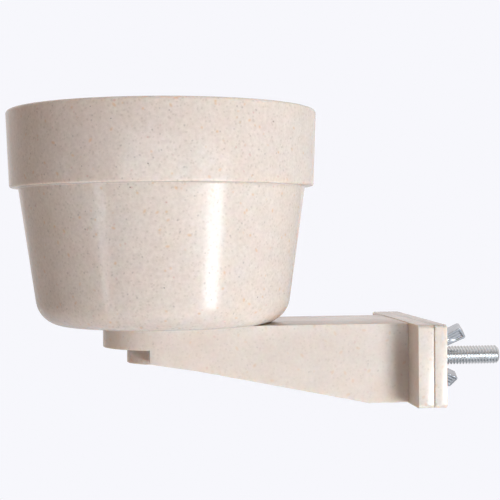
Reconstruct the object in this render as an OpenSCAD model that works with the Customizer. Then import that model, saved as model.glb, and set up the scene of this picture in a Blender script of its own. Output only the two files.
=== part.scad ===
// Twist-lock seed cup on a clamp-on bracket arm.
// Millimetres, +Z up. The origin is the middle of the flange's clamping face,
// on the bolt's axis. The cup hangs out along -X, the bolt points along +X.

/* [Cup] */
// Outer diameter at the top of the rim
rim_d = 96; // [88:1:106]
// Height from the flat base to the rim
cup_h = 65.8; // [56:0.1:76]
// Height of the wide band round the mouth
band_h = 23.5; // [15:0.5:29]
// Outer diameter at the lower edge of the band
band_low_d = 94.3; // [92:0.1:95]
// Outer diameter of the body just under the band
body_top_d = 88.9; // [84.5:0.1:90.3]
// Outer diameter of the body where its side would meet the base
base_d = 76.8; // [71:0.1:80.6]
// Radius that rounds the side into the base
base_corner_r = 8.6; // [6:0.1:11.5]
// Moulded wall thickness
cup_wall = 2.3; // [1.8:0.1:2.9]

/* [Twist lock] */
// Diameter of the hollow stud under the cup
stud_d = 12.8; // [11.6:0.1:13.4]
// Length of the stud below the base
stud_l = 6.8; // [6:0.1:7.6]
// Diameter over the two lugs
lug_d = 18.4; // [17.4:0.1:18.6]
// Thickness of a lug
lug_t = 2.3; // [2:0.1:2.8]
// Angle that a lug spans
lug_angle = 44; // [36:1:46]
// Turn from locked to free
twist_angle = 90; // [80:1:90]
// Rise of the ramp that draws the cup down
ramp_h = 0.8; // [0.5:0.1:1]
// Gap between a lug and the land it rests under
lug_gap = 0.2; // [0.15:0.05:0.3]

/* [Bracket] */
// From the cup's axis to the flange's clamping face
arm_reach = 78; // [75:0.1:91]
// Width of the arm, and diameter of its rounded end under the cup
arm_w = 38; // [37:0.1:42]
// Thickness of the arm's top plate
top_t = 2.7; // [2.2:0.1:3.1]
// Thickness of the arm's side walls
side_t = 2.5; // [2:0.1:2.9]
// Height of the skirt round the end of the arm
skirt_h = 6.9; // [5.8:0.1:8.6]
// Outer diameter of the socket hub
hub_d = 23.2; // [22.6:0.1:25]
// Depth of the socket hub below the top plate's face
hub_h = 11.9; // [10.3:0.1:13.5]
// Depth of the side walls where they start, beside the hub
wall_start_h = 11; // [9.6:0.1:12.6]
// Depth of the side walls at the bend of their lower edge
wall_bend_h = 13.2; // [12.7:0.1:14.4]
// Depth of the side walls at the clamp end
arm_h = 24.1; // [21:0.1:25]
// Level length of the side walls' lower edge, before the flange
level_l = 12; // [8:0.1:19]
// Thickness of the ribs under the arm
rib_t = 1.9; // [1.6:0.1:2.3]
// From the cup's axis to the cross rib
cross_rib_x = 32.6; // [27:0.1:36.5]

/* [Clamp] */
// Width of the flange and the clamp plate
jaw_w = 63.4; // [52:0.1:69]
// Height of the flange and the clamp plate
jaw_h = 24.6; // [24:0.1:29]
// How far the flange stands above the arm's top face
jaw_lip = 0.3; // [0.2:0.1:2]
// Thickness of the flange
flange_t = 4.6; // [3.9:0.1:5.8]
// Thickness of the clamp plate
plate_t = 3.9; // [3:0.1:5]
// Gap left between the jaws as stored
jaw_gap = 0.25; // [0.2:0.05:3]
// Radius of the jaws' corners
jaw_corner_r = 1.2; // [0.8:0.1:3]

/* [Bolt] */
// Thread size
bolt_d = 6; // [5:1:6]
// Length of the bolt under its head
bolt_l = 40; // [38:1:42]
// Diameter of the domed head
head_d = 16; // [14:0.5:16.5]
// Height of the domed head
head_h = 3.7; // [3:0.1:4]
// Width of the square neck
neck_w = 6.3; // [6.1:0.1:6.5]
// Length of the square neck
neck_l = 4; // [3:0.5:5]
// How far the bolt stands out beyond the clamp plate
bolt_out = 25.3; // [23:0.1:27]

/* [Wing nut] */
// Radial running clearance of the nut on the thread
thread_gap = 0.06; // [0.03:0.01:0.1]
// Diameter of the nut's seat
nut_seat_d = 11.9; // [11:0.1:13.4]
// Diameter of the nut's hub at its top
nut_top_d = 9.8; // [9.2:0.1:10.6]
// Height of the nut's hub
nut_hub_h = 5.6; // [5:0.1:6.8]
// Width over the tips of the wings
wing_span = 23.9; // [23:0.1:29]
// Height of the wings above the seat
wing_h = 13.3; // [11.5:0.1:14.5]
// Width of a wing at its square end
wing_w = 4.4; // [3.6:0.1:4.8]
// Angle that a wing leans out from the bolt
wing_lean = 33; // [26:1:40]
// Thickness of a wing at its root
wing_root_t = 4.4; // [3.4:0.1:4.8]
// Thickness of a wing at its tip
wing_tip_t = 2.9; // [2:0.1:3.3]
// Radius of the corners at a wing's end
wing_corner_r = 0.7; // [0.4:0.1:1.2]
// Angle of the wings about the bolt
wing_turn = 32; // [0:1:90]

/* [Hidden] */
$fn = 96;
eps = 0.01;

plastic = [0.87, 0.82, 0.76];
zinc = [0.72, 0.74, 0.76];

// Small fixed sizes
floor_t = 2.5;
lip_r = 1.05;
hub_wall = 1.9;
boss_w = 14;
wall_start_x = -5.1;
wall_bend_x = 8.6;
tip_chamfer = 0.8;

// Clearances round the stud, the bolt and its neck
key_gap = 0.4;
slot_gap = 0.3;
hole_gap = 0.3;
neck_gap = 0.05;
neck_end_gap = 0.2;

// Play of the lugs as angles: in the slots, on the lands and at the stops
slot_play = 6;
land_play = 4;
stop_gap = 1;

// How far a cutter or a root runs past the face it meets
over = 1;

// Heights and places that follow from the driving sizes
seat_z = jaw_h / 2 - jaw_lip;
cup_x = -arm_reach;
band_z = cup_h - band_h;
arm_end_x = arm_reach - flange_t;
inner_w = arm_w - 2 * side_t;
slot_angle = lug_angle + slot_play;
land_angle = lug_angle + land_play;
lug_top = top_t + ramp_h + lug_gap;
plate_x = jaw_gap + plate_t;
bolt_tip_x = plate_x + bolt_out;
head_x = bolt_tip_x - bolt_l;

// Points on an arc, from angle a0 to a1 in n steps
function arc(cx, cy, r, a0, a1, n) =
    [for (i = [0:n]) let (a = a0 + (a1 - a0) * i / n) [cx + r * cos(a), cy + r * sin(a)]];

// How fast the body's side spreads as it rises, and its angle from vertical
side_slope = (body_top_d - base_d) / 2 / band_z;
side_angle = atan(side_slope);

// Centre of the base's corner arc, tangent to the base and to the side.
// The inner corner shares it, so the wall keeps its thickness round the bend.
corner_x = base_d / 2 + side_slope * base_corner_r - base_corner_r / cos(side_angle);

// Moulded section of the cup: the wall steps out at the band and keeps its thickness
module cup_section() {
    inner_top = rim_d / 2 - cup_wall;
    inner_band = band_low_d / 2 - cup_wall;
    inner_body = body_top_d / 2 - cup_wall / cos(side_angle);
    inner_r = base_corner_r - cup_wall;
    ledge_z = band_z + cup_wall;
    edge_r = 0.6;
    lip_step = 0.1;
    ledge_rise = 1;
    ledge_run = 1;
    ledge_fall = 1.6;
    polygon(concat(
        [[0, 0]],
        arc(corner_x, base_corner_r, base_corner_r, -90, -side_angle, 9),
        [[body_top_d / 2, band_z]],
        arc(band_low_d / 2 - edge_r, band_z + edge_r, edge_r, -90, 0, 3),
        arc(rim_d / 2 - lip_r, cup_h - lip_r, lip_r, 0, 180, 8),
        [[inner_top - lip_step, cup_h - 2 * lip_r]],
        [[inner_band, ledge_z + ledge_rise]],
        [[inner_body + ledge_run, ledge_z]],
        [[inner_body, ledge_z - ledge_fall]],
        arc(corner_x, floor_t + inner_r, inner_r, -side_angle, -90, 8),
        [[0, floor_t]]
    ));
}

// Ring sector between two radii, from angle a0 to a1, below height z
module sector(r1, r2, a0, a1, z, h) {
    rotate([0, 0, a0])
        rotate_extrude(angle = a1 - a0)
            translate([r1, z - h])
                square([r2 - r1, h]);
}

// Hollow stud with two lugs, drawn locked
module twist_stud() {
    lug_root = stud_d / 2 - 0.5;
    difference() {
        translate([0, 0, -stud_l])
            cylinder(d = stud_d, h = stud_l + eps);
        translate([0, 0, -stud_l - over])
            cylinder(d = stud_d - 2 * cup_wall, h = stud_l + over - eps);
    }
    for (turn = [0, 180])
        rotate([0, 0, turn])
            sector(lug_root, lug_d / 2, -lug_angle / 2, lug_angle / 2, -lug_top, lug_t);
}

module seed_cup() {
    color(plastic)
        translate([cup_x, 0, seat_z]) {
            rotate_extrude()
                cup_section();
            twist_stud();
        }
}

// Plan of the arm: a round end of the arm's full width, and the straight arm
module arm_plan(width, length) {
    circle(d = width);
    translate([0, -width / 2])
        square([length, width]);
}

// Plan of the wall that runs along both sides and round the end
module wall_plan() {
    difference() {
        arm_plan(arm_w, arm_end_x + eps);
        arm_plan(inner_w, arm_end_x + over);
    }
}

// Side view of the side walls: their lower edge slopes gently to a bend, then down to the clamp end
module side_wall_profile() {
    polygon([
        [wall_start_x, 0],
        [arm_end_x + eps, 0],
        [arm_end_x + eps, -arm_h],
        [arm_end_x - level_l, -arm_h],
        [wall_bend_x, -wall_bend_h],
        [wall_start_x, -wall_start_h]
    ]);
}

// Block across the arm that follows the side view
module profile_block() {
    translate([0, arm_w / 2 + over, 0])
        rotate([90, 0, 0])
            linear_extrude(arm_w + 2 * over)
                side_wall_profile();
}

// Side walls, deeper towards the clamp end
module side_walls() {
    intersection() {
        translate([0, 0, -arm_h])
            linear_extrude(arm_h)
                wall_plan();
        profile_block();
    }
}

// Ribs under the arm, cut to the side profile
module ribs() {
    intersection() {
        translate([0, 0, -arm_h])
            union() {
                translate([hub_d / 2 - over, -rib_t / 2, 0])
                    cube([cross_rib_x - hub_d / 2 + over, rib_t, arm_h - top_t + eps]);
                translate([cross_rib_x, -inner_w / 2 - eps, 0])
                    cube([rib_t, inner_w + 2 * eps, arm_h - top_t + eps]);
                translate([wall_start_x, -inner_w / 2 - eps, 0])
                    cube([side_t, inner_w + 2 * eps, arm_h - top_t + eps]);
            }
        profile_block();
    }
}

// Ramp under the top plate: a sector cut by a plane tilted about its middle radius
module ramp() {
    r1 = stud_d / 2 + key_gap;
    r2 = hub_d / 2 - hub_wall;
    a0 = land_angle / 2;
    a1 = twist_angle - slot_angle / 2;
    mid = (a0 + a1) / 2;
    tilt = atan(ramp_h / 2 / ((r1 + r2) / 2 * sin(mid - a0)));
    block = 3 * r2;
    intersection() {
        sector(r1, r2 + eps, a0 - eps, a1, -top_t + eps, 2 * ramp_h);
        rotate([0, 0, mid])
            translate([0, 0, -top_t - ramp_h / 2])
                rotate([tilt, 0, 0])
                    translate([-r2, -r2, 0])
                        cube([block, block, block]);
    }
}

// What the lugs run against: ramps, lands and the two stop blocks
module lock_track() {
    r1 = stud_d / 2 + key_gap;
    r2 = hub_d / 2 - hub_wall;
    for (turn = [0, 180])
        rotate([0, 0, turn]) {
            sector(r1, r2 + eps, -land_angle / 2, land_angle / 2, -top_t + eps, ramp_h + eps);
            ramp();
            sector(r1, r2 + eps, twist_angle + lug_angle / 2 + stop_gap,
                180 - lug_angle / 2 - stop_gap, -top_t + eps, stud_l - top_t + eps);
        }
}

// Keyhole in the top plate: the stud's hole and two slots for the lugs
module keyhole() {
    translate([0, 0, -top_t - over])
        cylinder(r = stud_d / 2 + key_gap, h = top_t + 2 * over);
    for (turn = [0, 180])
        rotate([0, 0, turn + twist_angle])
            sector(stud_d / 4, lug_d / 2 + slot_gap, -slot_angle / 2, slot_angle / 2,
                over, top_t + 2 * over);
}

module bracket_body() {
    difference() {
        union() {
            translate([0, 0, -top_t])
                linear_extrude(top_t)
                    arm_plan(arm_w, arm_end_x + eps);
            translate([0, 0, -skirt_h])
                linear_extrude(skirt_h)
                    wall_plan();
            side_walls();
            ribs();
            translate([0, 0, -hub_h])
                cylinder(d = hub_d, h = hub_h - eps);
        }
        translate([0, 0, -hub_h - over])
            cylinder(r = hub_d / 2 - hub_wall, h = hub_h + over - top_t);
        keyhole();
    }
    lock_track();
}

// Flat jaw with rounded corners, its near face at x and its thickness t
module jaw(x, t) {
    r = jaw_corner_r;
    translate([x, 0, 0])
        rotate([90, 0, 90])
            linear_extrude(t) {
                square([jaw_w - 2 * r, jaw_h], center = true);
                square([jaw_w, jaw_h - 2 * r], center = true);
                for (sx = [-1, 1], sy = [-1, 1])
                    translate([sx * (jaw_w / 2 - r), sy * (jaw_h / 2 - r)])
                        circle(r = r);
            }
}

// Square prism along the bolt's axis
module square_along_x(w, x0, x1) {
    translate([x0, -w / 2, -w / 2])
        cube([x1 - x0, w, w]);
}

module bracket_arm() {
    color(plastic)
        difference() {
            union() {
                translate([cup_x, 0, seat_z])
                    bracket_body();
                jaw(-flange_t, flange_t);
                square_along_x(boss_w, head_x, -flange_t + eps);
            }
            rotate([0, 90, 0])
                translate([0, 0, head_x - over])
                    cylinder(d = bolt_d + 2 * hole_gap, h = -head_x + 2 * over);
            square_along_x(neck_w + 2 * neck_gap, head_x - over, head_x + neck_l + neck_end_gap);
        }
}

// Domed head, square neck and a shank of the thread's outer size
module carriage_bolt() {
    cap_r = (pow(head_d / 2, 2) + pow(head_h, 2)) / (2 * head_h);
    color(zinc) {
        rotate([0, 90, 0]) {
            translate([0, 0, head_x])
                intersection() {
                    translate([0, 0, cap_r - head_h])
                        sphere(r = cap_r);
                    translate([0, 0, -head_h])
                        cylinder(d = head_d, h = head_h);
                }
            translate([0, 0, head_x - eps])
                cylinder(d = bolt_d, h = bolt_l - tip_chamfer + eps);
            translate([0, 0, bolt_tip_x - tip_chamfer - eps])
                cylinder(d1 = bolt_d, d2 = bolt_d - 2 * tip_chamfer, h = tip_chamfer + eps);
        }
        square_along_x(neck_w, head_x - eps, head_x + neck_l);
    }
}

module clamp_plate() {
    color(plastic)
        difference() {
            jaw(jaw_gap, plate_t);
            rotate([0, 90, 0])
                translate([0, 0, jaw_gap - over])
                    cylinder(d = bolt_d + 2 * hole_gap, h = plate_t + 2 * over);
        }
}

// One wing in side view, radius across and height up: it leans out to a square end
module wing_profile() {
    r = wing_corner_r;
    out = [cos(wing_lean), -sin(wing_lean)];
    up = [sin(wing_lean), cos(wing_lean)];
    tip_out = [wing_span / 2, wing_h - wing_w * sin(wing_lean)];
    tip_in = tip_out - wing_w * out;
    c_out = tip_out - r * out - r * up;
    c_in = tip_in + r * out - r * up;
    taper = 5;
    foot_z = 1;
    root_r = bolt_d / 2 + 1;
    root_h = nut_hub_h - 0.3;
    seat_r = nut_seat_d / 2 - 0.2;
    foot_r = max(root_r + eps, tip_in[0] - (wing_h - root_h) * tan(wing_lean - taper));
    polygon(concat(
        [[root_r, foot_z], [seat_r, foot_z]],
        arc(c_out[0], c_out[1], r, -wing_lean, 90 - wing_lean, 3),
        arc(c_in[0], c_in[1], r, 90 - wing_lean, 180 - wing_lean, 3),
        [[foot_r, root_h], [root_r, root_h]]
    ));
}

// One wing: its side view, thinned from root to tip
module wing() {
    reach = wing_span / 2 + over;
    intersection() {
        rotate([90, 0, 0])
            translate([0, 0, -wing_root_t])
                linear_extrude(2 * wing_root_t)
                    wing_profile();
        linear_extrude(wing_h + over)
            polygon([
                [0, -wing_root_t / 2],
                [reach, -wing_tip_t / 2],
                [reach, wing_tip_t / 2],
                [0, wing_root_t / 2]
            ]);
    }
}

module wing_nut() {
    seat_t = 1.2;
    color(zinc)
        translate([plate_x, 0, 0])
            rotate([wing_turn, 0, 0])
                rotate([0, 90, 0])
                    difference() {
                        union() {
                            cylinder(d = nut_seat_d, h = seat_t);
                            translate([0, 0, seat_t - eps])
                                cylinder(d1 = nut_seat_d, d2 = nut_top_d, h = nut_hub_h - seat_t + eps);
                            for (turn = [0, 180])
                                rotate([0, 0, turn])
                                    wing();
                        }
                        translate([0, 0, -over])
                            cylinder(r = bolt_d / 2 + thread_gap, h = wing_h + 2 * over);
                    }
}

seed_cup();
bracket_arm();
carriage_bolt();
clamp_plate();
wing_nut();
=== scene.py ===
import math

import bmesh
import bpy
from mathutils import Matrix, Vector


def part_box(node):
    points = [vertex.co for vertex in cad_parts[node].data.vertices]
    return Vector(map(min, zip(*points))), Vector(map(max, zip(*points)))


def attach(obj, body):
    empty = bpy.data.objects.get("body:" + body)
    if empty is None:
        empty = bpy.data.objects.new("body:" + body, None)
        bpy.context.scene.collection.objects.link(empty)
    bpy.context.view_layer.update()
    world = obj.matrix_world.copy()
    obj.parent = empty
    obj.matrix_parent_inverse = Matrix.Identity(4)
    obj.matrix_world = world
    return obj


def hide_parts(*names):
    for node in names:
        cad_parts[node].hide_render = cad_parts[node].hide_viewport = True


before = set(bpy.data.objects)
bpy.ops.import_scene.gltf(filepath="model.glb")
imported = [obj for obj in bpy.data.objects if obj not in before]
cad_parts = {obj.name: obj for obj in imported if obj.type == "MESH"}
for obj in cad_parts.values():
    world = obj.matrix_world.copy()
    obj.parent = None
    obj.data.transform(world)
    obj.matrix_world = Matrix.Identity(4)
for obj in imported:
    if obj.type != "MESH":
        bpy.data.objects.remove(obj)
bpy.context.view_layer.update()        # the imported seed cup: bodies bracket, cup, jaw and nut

# Bracket arm
# A hollow moulding in fibre-filled polypropylene, ribbed below, with the socket for the cup's stud at one
# end and the clamp's fixed jaw at the other. Every edge left the mould with a small radius.
MM = 0.001
edge_radius = 0.35 * MM
radius_steps = 3
sharp_edge = math.radians(28)
flat_face = math.radians(0.4)
same_point = 0.02 * MM
shortest_edge = 0.01 * MM
hub_radius = 11.6 * MM
hub_margin = 1 * MM
cup_low, cup_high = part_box("seed_cup")
cup_axis = Vector(((cup_low.x + cup_high.x) / 2, 0, 0))


def linear(hex_colour):
    """Turns an sRGB hex colour into the linear colour that a shader's socket takes."""
    parts = [int(hex_colour[i:i + 2], 16) / 255 for i in (1, 3, 5)]
    return [c / 12.92 if c <= 0.04045 else ((c + 0.055) / 1.055) ** 2.4 for c in parts] + [1]


def add(tree, kind, inputs=None, **settings):
    """Adds a node with its settings, and sets or links its inputs by name or number. An input is a value,
    a socket, or a node, which stands for its first output."""
    made = tree.nodes.new(kind)
    for key, value in settings.items():
        setattr(made, key, value)
    for key, value in (inputs or {}).items():
        if isinstance(value, bpy.types.Node):
            value = value.outputs[0]
        if isinstance(value, bpy.types.NodeSocket):
            tree.links.new(value, made.inputs[key])
        else:
            made.inputs[key].default_value = value
    return made


def fibres(tree, place, spacing, length, width, share):
    """Mask of fibres of one size: a needle in each Voronoi cell, lying at random, cut by the surface."""
    cells = add(tree, "ShaderNodeTexVoronoi", {"Vector": place, "Scale": 1 / spacing})
    colour = cells.outputs["Color"]
    centred = add(tree, "ShaderNodeVectorMath", {0: colour, 1: (0.5, 0.5, 0.5)}, operation="SUBTRACT")
    heading = add(tree, "ShaderNodeVectorMath", {0: centred}, operation="NORMALIZE")
    offset = add(tree, "ShaderNodeVectorMath", {0: place, 1: cells.outputs["Position"]},
                 operation="SUBTRACT")
    along = add(tree, "ShaderNodeVectorMath", {0: offset, 1: heading}, operation="DOT_PRODUCT")
    along = along.outputs["Value"]
    reach = add(tree, "ShaderNodeVectorMath", {0: offset, 1: offset}, operation="DOT_PRODUCT")
    # 1 on the needle's skin, with an edge that fades as it does under clear resin
    along_squared = add(tree, "ShaderNodeMath", {0: along, 1: along}, operation="MULTIPLY")
    stretched = add(tree, "ShaderNodeMath", {0: along_squared, 1: 4 / length ** 2 - 4 / width ** 2},
                    operation="MULTIPLY")
    inside = add(tree, "ShaderNodeMath", {0: reach.outputs["Value"], 1: 4 / width ** 2, 2: stretched},
                 operation="MULTIPLY_ADD")
    soft = add(tree, "ShaderNodeMapRange", {"Value": inside, "From Min": 1.3, "From Max": 0.2})
    # A number from 0 to 1 for each cell says whether it keeps its fibre
    draw = add(tree, "ShaderNodeVectorMath", {0: colour, 1: (13.7, 7.3, 29.1)}, operation="DOT_PRODUCT")
    chance = add(tree, "ShaderNodeMath", {0: draw.outputs["Value"]}, operation="FRACT")
    kept = add(tree, "ShaderNodeMath", {0: chance, 1: share}, operation="LESS_THAN")
    return add(tree, "ShaderNodeMath", {0: soft, 1: kept}, operation="MULTIPLY")


def fibre_filled_plastic(name, showing):
    """Polypropylene with ground plant fibre, injection moulded: glossy beige with tan and brown flecks.
    showing is how strongly the fibre shows through the skin of resin."""
    cloud_size = 5 * MM
    mottle_size = 1 * MM
    matting_size = 0.4 * MM
    material = bpy.data.materials.new(name)
    material.use_nodes = True
    tree = material.node_tree
    shader = tree.nodes["Principled BSDF"]
    place = add(tree, "ShaderNodeTexCoord").outputs["Object"]
    # The resin is uneven in tone where fibre has gathered, in large clouds and in small mottles
    cloud = add(tree, "ShaderNodeTexNoise", {"Vector": place, "Scale": 1 / cloud_size, "Detail": 3})
    colour = add(tree, "ShaderNodeMix", {0: cloud, 6: linear("#DACBBD"), 7: linear("#E4D7CB")},
                 data_type="RGBA").outputs[2]
    mottle = add(tree, "ShaderNodeTexNoise", {"Vector": place, "Scale": 1 / mottle_size, "Detail": 2})
    mottle = add(tree, "ShaderNodeMapRange", {
        "Value": mottle, "From Min": 0.3, "From Max": 0.7, "To Max": 0.3 * showing})
    colour = add(tree, "ShaderNodeMix", {0: mottle, 6: colour, 7: linear("#B9A795")},
                 data_type="RGBA").outputs[2]
    # Fibre families: spacing, length, width, share of cells, colour and strength. The finest real dust is
    # under 0.1 mm and wouldn't show, so it is drawn at about 0.6 mm and fainter.
    for spacing, length, width, share, tint, strength in (
            (1.2 * MM, 0.95 * MM, 0.65 * MM, 0.7, "#A8957F", 0.25),
            (2.4 * MM, 0.85 * MM, 0.6 * MM, 0.45, "#7D6A5A", 0.33),
            (2.9 * MM, 1.6 * MM, 0.9 * MM, 0.5, "#D6A569", 0.44),
            (3.4 * MM, 1.1 * MM, 0.7 * MM, 0.4, "#C99384", 0.45),
            (5 * MM, 0.6 * MM, 0.45 * MM, 0.5, "#57493F", 0.6)):
        mask = fibres(tree, place, spacing, length, width, share)
        amount = add(tree, "ShaderNodeMath", {0: mask, 1: strength * showing}, operation="MULTIPLY")
        colour = add(tree, "ShaderNodeMix", {0: amount, 6: colour, 7: linear(tint)},
                     data_type="RGBA").outputs[2]
    tree.links.new(colour, shader.inputs["Base Color"])
    # The mould's fine matting breaks up the gloss
    matting = add(tree, "ShaderNodeTexNoise", {"Vector": place, "Scale": 1 / matting_size, "Detail": 2})
    gloss = add(tree, "ShaderNodeMapRange", {"Value": matting, "To Min": 0.12, "To Max": 0.2})
    tree.links.new(gloss.outputs[0], shader.inputs["Roughness"])
    bump = add(tree, "ShaderNodeBump", {"Height": matting, "Strength": 0.15, "Distance": 0.01 * MM})
    tree.links.new(bump.outputs[0], shader.inputs["Normal"])
    shader.inputs["IOR"].default_value = 1.49
    # Light sinks a little way into the resin and comes back warmer, which softens narrow gaps and edges
    shader.inputs["Subsurface Weight"].default_value = 0.7
    shader.inputs["Subsurface Radius"].default_value = (1, 0.6, 0.4)
    shader.inputs["Subsurface Scale"].default_value = 2.5 * MM
    return material


def finished(piece, smooth_up_to):
    """Applies a piece's modifiers, turns its faces outwards and shades it smooth up to an angle."""
    dressed = bpy.data.meshes.new_from_object(piece.evaluated_get(bpy.context.evaluated_depsgraph_get()))
    piece.modifiers.clear()
    shell = bmesh.new()
    shell.from_mesh(dressed)
    bmesh.ops.recalc_face_normals(shell, faces=shell.faces)
    shell.to_mesh(dressed)
    shell.free()
    piece.data = dressed
    dressed.name = piece.name
    dressed.shade_smooth()
    dressed.set_sharp_from_angle(angle=smooth_up_to)
    return piece


def placed(name, data):
    """Puts a mesh, a lamp or a camera into the scene as an object at the origin."""
    piece = bpy.data.objects.new(name, data)
    bpy.context.scene.collection.objects.link(piece)
    return piece


def softened(node, name, radius, chosen):
    """Copies a CAD node, joins its loose triangles and rounds the sharp edges that chosen picks."""
    shell = bmesh.new()
    shell.from_mesh(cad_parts[node].data)
    bmesh.ops.remove_doubles(shell, verts=shell.verts, dist=same_point)
    bmesh.ops.dissolve_degenerate(shell, dist=shortest_edge, edges=shell.edges)
    bmesh.ops.dissolve_limit(shell, angle_limit=flat_face, verts=shell.verts, edges=shell.edges)
    weight = shell.edges.layers.float.new("bevel_weight_edge")
    for edge in shell.edges:
        if edge.is_manifold and edge.calc_face_angle() > sharp_edge and chosen(edge):
            edge[weight] = 1
    mesh = bpy.data.meshes.new(name)
    shell.to_mesh(mesh)
    shell.free()
    piece = placed(name, mesh)
    bevel = piece.modifiers.new("edge radius", "BEVEL")
    bevel.limit_method = "WEIGHT"
    bevel.width = radius
    bevel.segments = radius_steps
    bevel.use_clamp_overlap = True
    weighted = piece.modifiers.new("flat faces", "WEIGHTED_NORMAL")
    weighted.keep_sharp = True
    return finished(piece, sharp_edge)


def painted(piece, material):
    """Gives a piece one material in place of any that it has."""
    piece.data.materials.clear()
    piece.data.materials.append(material)


def outside_socket(edge):
    """True for edges that aren't in or under the socket, where the twist lock's small steps are."""
    return min((v.co - cup_axis).xy.length for v in edge.verts) > hub_radius + hub_margin


# The thicker, plainer bracket has more resin over its fibre than the cup
bracket_plastic = fibre_filled_plastic("bracket_polypropylene", 0.6)
bracket = softened("bracket_arm", "bracket_moulding", edge_radius, outside_socket)
painted(bracket, bracket_plastic)
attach(bracket, "bracket")
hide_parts("bracket_arm")

# Carriage bolt
# An M6 steel bolt, cold headed, thread rolled, bright zinc plated. Its square neck sits in the boss behind
# the fixed jaw and keeps it from turning, and its thread runs out through both jaws.
bolt_low, bolt_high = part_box("carriage_bolt")
thread_pitch = 1 * MM
thread_crest = 2.96 * MM
thread_root = 2.4 * MM
thread_start_in_neck = 0.6 * MM
tip_chamfer = 0.15 * MM
neck_width = 6.3 * MM
neck_length = 4 * MM
neck_corner = 0.4 * MM
head_height = 3.7 * MM
head_radius = bolt_high.z
head_rim = 0.25 * MM
neck_start = bolt_low.x + head_height
neck_end = neck_start + neck_length
turned_edge = math.radians(40)
doubled_point = 0.002 * MM


def named_tree(name, sizes):
    """Starts a Geometry Nodes tree that takes a shape, sizes by name and a material."""
    tree = bpy.data.node_groups.new(name, "GeometryNodeTree")
    face = tree.interface
    face.new_socket("Geometry", in_out="INPUT", socket_type="NodeSocketGeometry")
    for size, kind in sizes:
        face.new_socket(size, in_out="INPUT", socket_type=kind)
    face.new_socket("Material", in_out="INPUT", socket_type="NodeSocketMaterial")
    face.new_socket("Geometry", in_out="OUTPUT", socket_type="NodeSocketGeometry")
    return tree, tree.nodes.new("NodeGroupInput").outputs


def close_tree(tree, shape, material):
    """Joins doubled points, then ends the tree in Realize Instances and Set Material."""
    joined = add(tree, "GeometryNodeMergeByDistance", {"Geometry": shape, "Distance": doubled_point})
    plain = add(tree, "GeometryNodeRealizeInstances", {"Geometry": joined})
    coated = add(tree, "GeometryNodeSetMaterial", {"Geometry": plain, "Material": material})
    add(tree, "NodeGroupOutput", {"Geometry": coated})


def round_grid(tree, rows, points_round):
    """A grid to wind round an axis, with each point's row and its share of the way round."""
    columns = add(tree, "ShaderNodeMath", {0: points_round, 1: 1}, operation="ADD")
    grid = add(tree, "GeometryNodeMeshGrid", {"Vertices X": columns, "Vertices Y": rows})
    index = add(tree, "GeometryNodeInputIndex")
    row = add(tree, "ShaderNodeMath", {0: index, 1: rows}, operation="MODULO")
    # Half a step on, so that rounding can't put a column's first point in the column before
    column = add(tree, "ShaderNodeMath", {0: index, 1: 0.5}, operation="ADD")
    column = add(tree, "ShaderNodeMath", {0: column, 1: rows}, operation="DIVIDE")
    column = add(tree, "ShaderNodeMath", {0: column}, operation="FLOOR")
    share = add(tree, "ShaderNodeMath", {0: column, 1: points_round}, operation="DIVIDE")
    return grid, row, share


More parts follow.
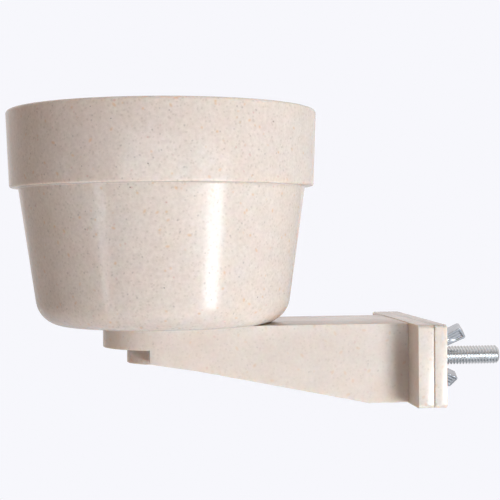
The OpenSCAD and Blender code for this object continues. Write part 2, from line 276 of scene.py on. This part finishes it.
def thread_tree():
    """A rolled thread along X, made from its sizes alone: rows of points wound on a helix, their distance
    from the axis set by the thread's profile, its run-out at the start and its chamfer at the tip."""
    spare_turns = 3
    lead_turns = 1.5
    crest_end = 0.06
    root_start = 0.86
    tree, given = named_tree("rolled thread", [
        ("Pitch", "NodeSocketFloat"), ("Crest radius", "NodeSocketFloat"), ("Root radius", "NodeSocketFloat"),
        ("Start", "NodeSocketFloat"), ("End", "NodeSocketFloat"), ("Tip radius", "NodeSocketFloat"),
        ("Rows per turn", "NodeSocketInt"), ("Points round", "NodeSocketInt")])
    start, end = given["Start"], given["End"]
    length = add(tree, "ShaderNodeMath", {0: end, 1: start}, operation="SUBTRACT")
    turns = add(tree, "ShaderNodeMath", {0: length, 1: given["Pitch"]}, operation="DIVIDE")
    turns = add(tree, "ShaderNodeMath", {0: turns, 1: spare_turns}, operation="ADD")
    rows = add(tree, "ShaderNodeMath", {0: turns, 1: given["Rows per turn"]}, operation="MULTIPLY")
    rows = add(tree, "ShaderNodeMath", {0: rows}, operation="CEIL")
    grid, row, share = round_grid(tree, rows, given["Points round"])
    turn = add(tree, "ShaderNodeMath", {0: row, 1: given["Rows per turn"]}, operation="DIVIDE")
    # The helix leads in ahead of the start, so that it covers the start all the way round
    along = add(tree, "ShaderNodeMath", {0: turn, 1: share}, operation="ADD")
    along = add(tree, "ShaderNodeMath", {0: along, 1: lead_turns}, operation="SUBTRACT")
    place = add(tree, "ShaderNodeMath", {0: along, 1: given["Pitch"], 2: start}, operation="MULTIPLY_ADD")
    place = add(tree, "ShaderNodeMath", {0: place, 1: end}, operation="MINIMUM")
    place = add(tree, "ShaderNodeMath", {0: place, 1: start}, operation="MAXIMUM")
    # 0 on the crest's middle line, 1 in the root's: flat crest, straight flanks, flat root
    from_crest = add(tree, "ShaderNodeMath", {0: turn, 1: 0.5}, operation="PINGPONG")
    from_crest = add(tree, "ShaderNodeMath", {0: from_crest, 1: 2}, operation="MULTIPLY")
    profile = add(tree, "ShaderNodeMapRange", {
        "Value": from_crest, "From Min": crest_end, "From Max": root_start,
        "To Min": given["Crest radius"], "To Max": given["Root radius"]}, interpolation_type="SMOOTHSTEP")
    # Both ends are cut back to a cone, and their last rows close on the axis
    before_end = add(tree, "ShaderNodeMath", {0: end, 1: place}, operation="SUBTRACT")
    after_start = add(tree, "ShaderNodeMath", {0: place, 1: start}, operation="SUBTRACT")
    room = add(tree, "ShaderNodeMath", {0: before_end, 1: after_start}, operation="MINIMUM")
    cone = add(tree, "ShaderNodeMath", {0: room, 1: given["Tip radius"]}, operation="ADD")
    reach = add(tree, "ShaderNodeMath", {0: profile, 1: cone}, operation="MINIMUM")
    after_first = add(tree, "ShaderNodeMath", {0: row, 1: 0.5}, operation="GREATER_THAN")
    last_row = add(tree, "ShaderNodeMath", {0: rows, 1: 1.5}, operation="SUBTRACT")
    before_last = add(tree, "ShaderNodeMath", {0: row, 1: last_row}, operation="LESS_THAN")
    inner = add(tree, "ShaderNodeMath", {0: after_first, 1: before_last}, operation="MULTIPLY")
    reach = add(tree, "ShaderNodeMath", {0: reach, 1: inner}, operation="MULTIPLY")
    angle = add(tree, "ShaderNodeMath", {0: share, 1: 2 * math.pi}, operation="MULTIPLY")
    y = add(tree, "ShaderNodeMath", {0: angle}, operation="COSINE")
    y = add(tree, "ShaderNodeMath", {0: reach, 1: y}, operation="MULTIPLY")
    z = add(tree, "ShaderNodeMath", {0: angle}, operation="SINE")
    z = add(tree, "ShaderNodeMath", {0: reach, 1: z}, operation="MULTIPLY")
    point = add(tree, "ShaderNodeCombineXYZ", {"X": place, "Y": y, "Z": z})
    wound = add(tree, "GeometryNodeSetPosition", {"Geometry": grid, "Position": point})
    close_tree(tree, wound, given["Material"])
    return tree


def lathe_tree():
    """Turns a profile, a row of points in the XZ plane, round the Z axis."""
    tree, given = named_tree("lathe", [("Points round", "NodeSocketInt")])
    points = add(tree, "GeometryNodeAttributeDomainSize", {"Geometry": given["Geometry"]})
    grid, row, share = round_grid(tree, points.outputs["Point Count"], given["Points round"])
    here = add(tree, "GeometryNodeInputPosition")
    profile = add(tree, "GeometryNodeSampleIndex",
                  {"Geometry": given["Geometry"], "Value": here, "Index": row},
                  data_type="FLOAT_VECTOR", domain="POINT")
    angle = add(tree, "ShaderNodeMath", {0: share, 1: 2 * math.pi}, operation="MULTIPLY")
    turned = add(tree, "ShaderNodeVectorRotate", {"Vector": profile, "Angle": angle},
                 rotation_type="Z_AXIS")
    swept = add(tree, "GeometryNodeSetPosition", {"Geometry": grid, "Position": turned})
    close_tree(tree, swept, given["Material"])
    return tree


def grown(name, points, tree, sizes, material, place=Matrix()):
    """Runs a tree on a row of points, and returns the result as a plain mesh object put in its place."""
    mesh = bpy.data.meshes.new(name)
    mesh.from_pydata(points, [(i, i + 1) for i in range(len(points) - 1)], [])
    piece = placed(name, mesh)
    modifier = piece.modifiers.new(tree.name, "NODES")
    modifier.node_group = tree
    for socket in tree.interface.items_tree:
        if socket.in_out == "INPUT" and socket.name in sizes:
            modifier[socket.identifier] = sizes[socket.name]
        elif socket.in_out == "INPUT" and socket.name == "Material":
            modifier[socket.identifier] = material
    finished(piece, turned_edge)
    piece.data.transform(place)
    return piece


def arc(centre, radius, start, end, steps):
    """Points of a profile on an arc, angles in degrees."""
    turns = [math.radians(start + (end - start) * i / steps) for i in range(steps + 1)]
    return [(centre[0] + radius * math.cos(t), 0, centre[1] + radius * math.sin(t)) for t in turns]


def plated(name, colour, stained, smooth, rough, grain, bump_depth):
    """Zinc plating: a bright metal with faint clouds, rougher where it is cast than where it is rolled."""
    cloud_size = 2.5 * MM
    material = bpy.data.materials.new(name)
    material.use_nodes = True
    tree = material.node_tree
    shader = tree.nodes["Principled BSDF"]
    place = add(tree, "ShaderNodeTexCoord").outputs["Object"]
    cloud = add(tree, "ShaderNodeTexNoise", {"Vector": place, "Scale": 1 / cloud_size, "Detail": 4})
    tone = add(tree, "ShaderNodeMix", {0: cloud, 6: linear(colour), 7: linear(stained)}, data_type="RGBA")
    tree.links.new(tone.outputs[2], shader.inputs["Base Color"])
    surface = add(tree, "ShaderNodeTexNoise", {"Vector": place, "Scale": 1 / grain, "Detail": 3})
    gloss = add(tree, "ShaderNodeMapRange", {"Value": surface, "To Min": smooth, "To Max": rough})
    tree.links.new(gloss.outputs[0], shader.inputs["Roughness"])
    bump = add(tree, "ShaderNodeBump", {"Height": surface, "Strength": 0.4, "Distance": bump_depth})
    tree.links.new(bump.outputs[0], shader.inputs["Normal"])
    shader.inputs["Metallic"].default_value = 1
    return material


# Cold-headed and rolled steel is smooth under its plating, so it mirrors the room brightly and sharply
bolt_zinc = plated("bright_zinc_plated_steel", "#E4E7E8", "#D5D9DA", 0.1, 0.2, 0.3 * MM, 0.01 * MM)
lathe = lathe_tree()
along_x = Matrix.Rotation(math.radians(90), 4, "Y")
thread = grown("bolt_thread", [(0, 0, 0), (0, 0, MM)], thread_tree(), {
    "Pitch": thread_pitch, "Crest radius": thread_crest, "Root radius": thread_root,
    "Start": neck_end - thread_start_in_neck, "End": bolt_high.x, "Tip radius": thread_root - tip_chamfer,
    "Rows per turn": 12, "Points round": 40}, bolt_zinc)
cap_radius = (head_radius ** 2 + head_height ** 2) / (2 * head_height)
cap_angle = math.degrees(math.asin(head_radius / cap_radius))
# The dome stops 2 degrees short of its edge, and the rim's small arc takes over
dome_end = cap_angle - 92
dome = arc((0, cap_radius - head_height), cap_radius, -90, dome_end, 20)
dome_rim = arc((dome[-1][0] - head_rim, -head_rim), head_rim, -30, 90, 4)
head = grown("bolt_head", dome + dome_rim + [(0, 0, 0)], lathe, {"Points round": 64}, bolt_zinc,
             Matrix.Translation((neck_start, 0, 0)) @ along_x)
neck_shell = bmesh.new()
bmesh.ops.create_cube(neck_shell, size=1, matrix=Matrix.Translation(
    ((neck_start + neck_end) / 2, 0, 0)) @ Matrix.Diagonal((neck_length, neck_width, neck_width, 1)))
neck_mesh = bpy.data.meshes.new("bolt_neck")
neck_shell.to_mesh(neck_mesh)
neck_shell.free()
neck = placed("bolt_neck", neck_mesh)
painted(neck, bolt_zinc)
rolled = neck.modifiers.new("rolled corners", "BEVEL")
rolled.width = neck_corner
rolled.segments = radius_steps
finished(neck, sharp_edge)
for piece in (thread, head, neck):
    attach(piece, "bracket")
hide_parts("carriage_bolt")

# Seed cup
# One thin-walled moulding in the same plastic: a wide band round the mouth, a body that tapers to a
# rounded base, and under it the hollow stud whose two lugs lock into the bracket.
# The bracket's jaw stands this much higher than the plate that the cup sits on
jaw_lip = 0.3 * MM
base_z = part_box("bracket_arm")[1].z - jaw_lip
rim_radius = (cup_high.x - cup_low.x) / 2
cup_height = cup_high.z - base_z
band_height = 23.5 * MM
band_low_radius = 47.15 * MM
body_radius = 44.45 * MM
base_radius = 38.4 * MM
corner_radius = 8.6 * MM
wall = 2.3 * MM
floor_thickness = 2.5 * MM
lip = 1.05 * MM
band_edge = 0.72 * MM
# The draft of the band's sides, in degrees
band_draft = 2
# The small fillet under the band
tuck = 0.5 * MM
tuck_inset = 0.07 * MM
# The step inside the cup, where the wall follows the band outwards
ledge_fillet = 1.6 * MM
ledge_rise = 1.8 * MM
ledge_edge = 0.9 * MM
ledge_inset = 0.75 * MM
# The stud's edge radius, and how far below the cup's base its own edges start and it is cut off
stud_edge = 0.25 * MM
stud_margin = 0.5 * MM
stud_trim = 0.02 * MM
on_plane = 1e-7

band_z = cup_height - band_height
slope = (body_radius - base_radius) / band_z
lean = math.degrees(math.atan(slope))
corner_x = base_radius + slope * corner_radius - corner_radius / math.cos(math.radians(lean))
inner_body = body_radius - wall / math.cos(math.radians(lean))
inner_corner = corner_radius - wall
ledge_z = band_z + wall
cup_profile = (
    [(0, 0, 0)]
    + arc((corner_x, corner_radius), corner_radius, -90, -lean, 18)
    + arc((body_radius + tuck - tuck_inset, band_z - tuck), tuck, 180 - lean, 90, 5)
    + arc((band_low_radius - band_edge, band_z + band_edge), band_edge, -90, band_draft, 7)
    + arc((rim_radius - lip, cup_height - lip), lip, band_draft, 180 - band_draft, 14)
    + arc((band_low_radius - wall - ledge_fillet, ledge_z + ledge_rise), ledge_fillet, band_draft, -80, 7)
    + arc((inner_body + ledge_inset, ledge_z - ledge_inset), ledge_edge, 95, 180 - lean, 6)
    + arc((corner_x, floor_thickness + inner_corner), inner_corner, -lean, -90, 14)
    + [(0, 0, floor_thickness)])
# The thin wall holds its fibre close to the surface, so the flecks show at full strength
cup_plastic = fibre_filled_plastic("cup_polypropylene", 1.0)
cup = grown("cup_moulding", cup_profile, lathe, {"Points round": 192}, cup_plastic,
            Matrix.Translation((cup_axis.x, 0, base_z)))
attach(cup, "cup")
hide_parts("seed_cup")


def on_stud(edge):
    """True for edges well below the cup's base, which are the stud's and the lugs'."""
    return max(v.co.z for v in edge.verts) < base_z - stud_margin


# The stud and its lugs are the CAD's own, cut off just below the cup's base
stud = softened("seed_cup", "cup_stud", stud_edge, on_stud)
trim = bmesh.new()
trim.from_mesh(stud.data)
cut = bmesh.ops.bisect_plane(trim, geom=trim.verts[:] + trim.edges[:] + trim.faces[:], dist=on_plane,
                             plane_co=(0, 0, base_z - stud_trim), plane_no=(0, 0, 1), clear_outer=True)
bmesh.ops.triangle_fill(trim, use_beauty=True,
                        edges=[e for e in cut["geom_cut"] if isinstance(e, bmesh.types.BMEdge)])
trim.to_mesh(stud.data)
trim.free()
painted(stud, cup_plastic)
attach(stud, "cup")

# Clamp plate
# The loose outer jaw, a flat moulding in the bracket's plastic with small edge radii. A hole in its middle
# lets it slide on the bolt, and the wing nut presses it against the cage.
plate = softened("clamp_plate", "clamp_plate_moulding", edge_radius, lambda edge: True)
painted(plate, bracket_plastic)
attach(plate, "jaw")
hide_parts("clamp_plate")

# Wing nut
# A die casting in zinc alloy, plated: the hub and both wings in one piece with a tapped bore, every edge
# and inside corner rounded by the die, the skin slightly grained. The wings' sides are sunk panels with ribs.
nut_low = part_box("wing_nut")[0]
nut_grid = 0.16 * MM
nut_same_point = 0.005 * MM
cast_edge = math.radians(60)
bore_radius = 3.06 * MM
bore_skin = 1.2 * nut_grid
wing_turn = math.radians(32)
wing_lean = math.radians(33)
wing_outer_corner = Vector((11.95 * MM, 10.9 * MM))
wing_inner_corner = Vector((8.26 * MM, 13.3 * MM))
wing_root = 4.4 * MM
wing_tip = 2.9 * MM
wing_reach = 12.95 * MM
panel_start = 6.4 * MM
panel_rim = 0.7 * MM
panel_edge = 0.3 * MM
panel_depth = 0.38 * MM
rib_spacing = 1.1 * MM
rib_share = 0.45
# The casting is greyer than the bolt, and the grain of its skin blurs what it mirrors
nut_zinc = plated("plated_zinc_casting", "#CFD3D7", "#B4B9BE", 0.12, 0.26, 0.45 * MM, 0.02 * MM)
nut_shell = bmesh.new()
nut_shell.from_mesh(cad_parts["wing_nut"].data)
bmesh.ops.remove_doubles(nut_shell, verts=nut_shell.verts, dist=nut_same_point)
nut_mesh = bpy.data.meshes.new("wing_nut_casting")
nut_shell.to_mesh(nut_mesh)
nut_shell.free()
nut = placed("wing_nut_casting", nut_mesh)
remesh = nut.modifiers.new("casting skin", "REMESH")
remesh.mode = "VOXEL"
remesh.voxel_size = nut_grid
soften = nut.modifiers.new("die radii", "SMOOTH")
soften.factor = 0.5
soften.iterations = 8
finished(nut, cast_edge)

# The tap left the bore round, so the points beside it go back on to its radius
for vertex in nut.data.vertices:
    radial = Vector((0, vertex.co.y, vertex.co.z))
    if radial.length < bore_radius + bore_skin and nut_low.x + nut_grid < vertex.co.x:
        radial = radial.normalized() * bore_radius
        vertex.co = (vertex.co.x, radial.y, radial.z)

# The panels: a wing seen from its side, as distance from the axis and height over the seat, leans outwards
outwards = Vector((math.cos(wing_lean), -math.sin(wing_lean)))
upwards = Vector((math.sin(wing_lean), math.cos(wing_lean)))
untwist = Matrix.Rotation(-wing_turn, 3, "X")
for vertex in nut.data.vertices:
    place = untwist @ vertex.co
    here = Vector((abs(place.z), place.x - nut_low.x))
    half_width = (wing_root + (wing_tip - wing_root) * here.x / wing_reach) / 2
    if here.x < panel_start or abs(abs(place.y) - half_width) > panel_edge:
        continue
    from_edge = (wing_outer_corner - here).dot(outwards)
    inset = min(from_edge, (here - wing_inner_corner).dot(outwards), (wing_outer_corner - here).dot(upwards),
                here.x - panel_start)
    sunk = min(max((inset - panel_rim) / panel_edge, 0), 1)
    rib = 0.5 - 0.5 * math.cos(2 * math.pi * from_edge / rib_spacing)
    place.y -= math.copysign(panel_depth * sunk * (1 - rib_share * rib), place.y)
    vertex.co = untwist.transposed() @ place
painted(nut, nut_zinc)
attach(nut, "nut")
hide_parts("wing_nut")

# Studio
# A pale floor well below the hanging fitting, and a pale surround that only the camera and clear surfaces
# see. Matt surfaces and gloss are lit by two softer skies of their own, and by lamps.
floor_z = -0.35
floor_half = 6
surround = "#F7F7FC"
shadow_near, shadow_far = 0.45, 0.8
glow_in_shadow = 0.75
lit_floor = 0.4
# How far the painted shade that gloss sees on the floor reaches from the spot right below the fitting
painted_shade_reach = 0.3
soft_light = (0.634, (-0.029, 0.449, -0.408))
reflected = (0.6, (0.1, 0.25, 0))
overhead_light = 0.35
overhead_start, overhead_full = 0.35, 0.9

floor_mesh = bpy.data.meshes.new("floor")
floor_mesh.from_pydata([(-floor_half, -floor_half, floor_z), (floor_half, -floor_half, floor_z),
                        (floor_half, floor_half, floor_z), (-floor_half, floor_half, floor_z)],
                       [], [(0, 1, 2, 3)])
floor = placed("floor", floor_mesh)
# Matt pale paper without grain or gloss. Gloss sees a painted shade on it right below the fitting
pale_paper = bpy.data.materials.new("pale_paper_floor")
pale_paper.use_nodes = True
paper = pale_paper.node_tree
paper.nodes.clear()
ray = add(paper, "ShaderNodeLightPath").outputs
gloss_ray = ray["Is Glossy Ray"]
spot = add(paper, "ShaderNodeTexCoord").outputs["Object"]
# The camera sees the floor as bright as the surround, with the fitting's faint shadow near its middle
away = add(paper, "ShaderNodeVectorMath", {0: spot}, operation="LENGTH").outputs["Value"]
faded = add(paper, "ShaderNodeMapRange", {
    "Value": away, "From Min": shadow_near, "From Max": shadow_far, "To Min": glow_in_shadow, "To Max": 1.0})
seen = add(paper, "ShaderNodeMath", {0: ray["Is Camera Ray"], 1: ray["Is Transmission Ray"]},
           operation="MAXIMUM")
# Gloss sees the floor lit, with a painted shade right below the fitting: the paper's colour turns dark there
# for gloss only, which draws painted dark reflection lines in the metal
below = add(paper, "ShaderNodeVectorMath", {0: spot, 1: (0, 0, floor_z)}, operation="DISTANCE")
painted_shade = add(paper, "ShaderNodeMapRange", {
    "Value": below.outputs["Value"], "From Min": painted_shade_reach, "From Max": 0, "To Max": gloss_ray})
paper_with_painted_shade = add(paper, "ShaderNodeMix", {0: painted_shade, 6: linear("#F0F0F2"), 7: linear("#3E4248")},
            data_type="RGBA").outputs[2]
lit = add(paper, "ShaderNodeMath", {0: gloss_ray, 1: painted_shade}, operation="SUBTRACT")
lit = add(paper, "ShaderNodeMath", {0: lit, 1: lit_floor}, operation="MULTIPLY")
share = add(paper, "ShaderNodeMath", {0: seen, 1: faded}, operation="MULTIPLY")
share = add(paper, "ShaderNodeMath", {0: share, 1: lit}, operation="MAXIMUM")
matt = add(paper, "ShaderNodeBsdfDiffuse", {"Color": paper_with_painted_shade})
glow = add(paper, "ShaderNodeEmission", {"Color": linear(surround), "Strength": 1.0})
mixed = add(paper, "ShaderNodeMixShader", {0: share, 1: matt, 2: glow})
add(paper, "ShaderNodeOutputMaterial", {"Surface": mixed})
painted(floor, pale_paper)

world = bpy.data.worlds.new("studio")
bpy.context.scene.world = world
world.use_nodes = True
sky = world.node_tree
sky.nodes.clear()
heading = add(sky, "ShaderNodeTexCoord").outputs["Generated"]


def room_light(level, rise):
    """Brightness of the room in each direction: a level that rises towards one side of it."""
    light = add(sky, "ShaderNodeVectorMath", {0: heading, 1: rise}, operation="DOT_PRODUCT")
    light = add(sky, "ShaderNodeMath", {0: light.outputs["Value"], 1: level}, operation="ADD")
    return add(sky, "ShaderNodeMath", {0: light, 1: 0.0}, operation="MAXIMUM")


ray = add(sky, "ShaderNodeLightPath").outputs
gloss_ray = ray["Is Glossy Ray"]
seen = add(sky, "ShaderNodeMath", {0: ray["Is Camera Ray"], 1: ray["Is Transmission Ray"]},
           operation="MAXIMUM")
# Gloss sees the room darker at eye level and paler overhead
height = add(sky, "ShaderNodeSeparateXYZ", {0: heading}).outputs["Z"]
overhead = add(sky, "ShaderNodeMapRange", {
    "Value": height, "From Min": overhead_start, "From Max": overhead_full, "To Max": overhead_light},
    interpolation_type="SMOOTHSTEP")
shine = add(sky, "ShaderNodeMath", {0: room_light(*reflected), 1: overhead}, operation="ADD")
shine = add(sky, "ShaderNodeMath", {0: gloss_ray, 1: shine}, operation="MULTIPLY")
# What is neither gloss nor seen lights the matt surfaces
other_ray = add(sky, "ShaderNodeMath", {0: 1.0, 1: gloss_ray}, operation="SUBTRACT")
other_ray = add(sky, "ShaderNodeMath", {0: other_ray, 1: seen}, operation="SUBTRACT")
other_ray = add(sky, "ShaderNodeMath", {0: other_ray, 1: 0.0}, operation="MAXIMUM")
fill = add(sky, "ShaderNodeMath", {0: other_ray, 1: room_light(*soft_light)}, operation="MULTIPLY")
strength = add(sky, "ShaderNodeMath", {0: shine, 1: fill}, operation="ADD")
strength = add(sky, "ShaderNodeMath", {0: seen, 1: strength}, operation="MAXIMUM")
tint = add(sky, "ShaderNodeMix", {0: gloss_ray, 6: linear("#FFF1E5"), 7: linear("#FFF9F9")},
           data_type="RGBA").outputs[2]
tint = add(sky, "ShaderNodeMix", {0: seen, 6: tint, 7: linear(surround)}, data_type="RGBA").outputs[2]
sky_light = add(sky, "ShaderNodeBackground", {"Color": tint, "Strength": strength})
add(sky, "ShaderNodeOutputWorld", {"Surface": sky_light})

camera_yaw = 6.5
cup_middle = Vector((cup_axis.x, 0, base_z + cup_height / 2))
above_mouth = Vector((0, -0.03, 0.6))


def softbox(name, place, aim, width, height, watts, colour, lights=True, shines=True, spread=180):
    """A rectangular lamp turned towards a point, that lights surfaces, shines back from them, or both.
    spread is the angle of its beam in degrees."""
    lamp = bpy.data.lights.new(name, "AREA")
    lamp.spread = math.radians(spread)
    lamp.shape = "RECTANGLE"
    lamp.size = width
    lamp.size_y = height
    lamp.energy = watts
    lamp.color = linear(colour)[:3]
    box = placed(name, lamp)
    box.location = place
    box.rotation_euler = (Vector(aim) - Vector(place)).to_track_quat("-Z", "Y").to_euler()
    box.visible_camera = False
    box.visible_diffuse = lights
    box.visible_glossy = shines


def around_cup(azimuth, elevation, reach=0.62):
    """A place seen from the cup at degrees to the right of the camera's line and degrees of elevation."""
    azimuth, elevation = math.radians(azimuth - camera_yaw), math.radians(elevation)
    return cup_middle + reach * Vector((math.sin(azimuth) * math.cos(elevation),
                                        -math.cos(azimuth) * math.cos(elevation), math.sin(elevation)))


# Each lamp has its place, its aim, its width, height and watts, and its colour. The first ones light the
# fitting and don't show in its gloss: from the front right, from behind for the other views, and a narrow
# one that lights the inside of the cup.
softbox("key", around_cup(35.5, -12, 0.65), cup_middle, 0.2, 0.2, 3.65, "#E8F3FF", shines=False)
softbox("high_key", around_cup(40, 25, 0.65), cup_middle, 0.2, 0.2, 0.79, "#E8F3FF", shines=False)
softbox("back_fill", around_cup(180, 3, 0.65), cup_middle, 0.2, 0.2, 2.0, "#D6E6FF", shines=False)
softbox("inside_fill", cup_middle + above_mouth, cup_middle, 0.05, 0.05, 0.012, "#D6E6FF",
        shines=False, spread=12)
# The others only show in the gloss, as the photo's highlights on the cup, the arm and the bolt
softbox("strip_shine", around_cup(45.5, -20), cup_middle, 0.14, 0.26, 0.8, "#EEF6FF", lights=False)
softbox("broad_shine", around_cup(33, -13.5, 1.2), cup_middle, 0.25, 0.2, 1.7, "#F2F8FF", lights=False)
softbox("bolt_shine", (0.27, -0.42, -0.05), (0.015, 0, 0), 0.1, 0.3, 0.2, "#FFFFFF", lights=False)
softbox("arm_shine", (0.125, -1.21, -0.12), (-0.04, 0, 0), 0.3, 0.2, 0.3, "#F4F8FF", lights=False)
softbox("band_shine", around_cup(32, 1), cup_middle, 0.16, 0.05, 0.1, "#EEF6FF", lights=False)
softbox("band_glow", around_cup(-4, 1), cup_middle, 0.5, 0.12, 0.4, "#F6FAFF", lights=False)
softbox("left_shine", around_cup(-46, -18), cup_middle, 0.09, 0.2, 0.13, "#EEF2FF", lights=False)

# Camera
# The photograph's view: nearly level, 6.5 degrees off square on to the arm, 0.38 m away. A point a little
# below the cup's base, on its axis, shows at aim_px.
photo_px = 500
focal_px = 1217
distance = 381.2 * MM
camera_pitch = 0.88
camera_roll = -0.52
aim_px = (164.1, 332.14)
aim_drop = 2.914 * MM
aim_point = Vector((cup_axis.x, 0, base_z - aim_drop))
turn = (Matrix.Rotation(math.radians(camera_roll), 3, "Y")
        @ Matrix.Rotation(math.radians(camera_pitch), 3, "X")
        @ Matrix.Rotation(math.radians(camera_yaw), 3, "Z"))
middle = photo_px / 2
shift = distance * Vector(((aim_px[0] - middle) / focal_px, 1, -(aim_px[1] - middle) / focal_px))
right, depth, up = turn
camera_data = bpy.data.cameras.new("photo_camera")
camera_data.sensor_width = 36
camera_data.lens = focal_px / photo_px * camera_data.sensor_width
camera = placed("photo_camera", camera_data)
axes = Matrix((right, up, -depth)).transposed()
camera.matrix_world = Matrix.Translation(aim_point - turn.transposed() @ shift) @ axes.to_4x4()
bpy.context.scene.camera = camera
bpy.context.scene.view_settings.view_transform = "Standard"
